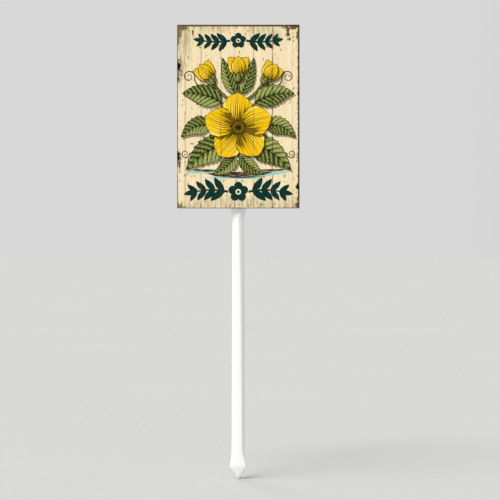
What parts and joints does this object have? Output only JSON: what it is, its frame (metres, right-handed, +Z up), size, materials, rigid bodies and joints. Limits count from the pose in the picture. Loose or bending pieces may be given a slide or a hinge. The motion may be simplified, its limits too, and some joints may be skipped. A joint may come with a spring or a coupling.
{
  "type": "plant marker",
  "caption": "Garden plant marker: a flat upright printed sign board taped to a white moulded plastic stake with a flared head, ridged shaft and barbed point.",
  "frame": {"origin": "on the stake's axis at the soil line, 90 mm above the tip, midway through the shaft's depth under the sign", "axes": "+Z up the stake to the sign, +X to the right of someone reading the sign, +Y away from them, so the print faces -Y"},
  "size_m": [0.1016, 0.0066, 0.3777],
  "materials": {
    "moulded_plastic": "satin",
    "foam_tape": "matte",
    "foam_board": "matte",
    "printed_vinyl": "satin"
  },
  "bodies": {
    "root": {"stake": "moulded_plastic", "foam_tape_lower": "foam_tape", "foam_tape_upper": "foam_tape", "sign_panel": "foam_board", "printed_film": "printed_vinyl"}
  },
  "joints": []
}
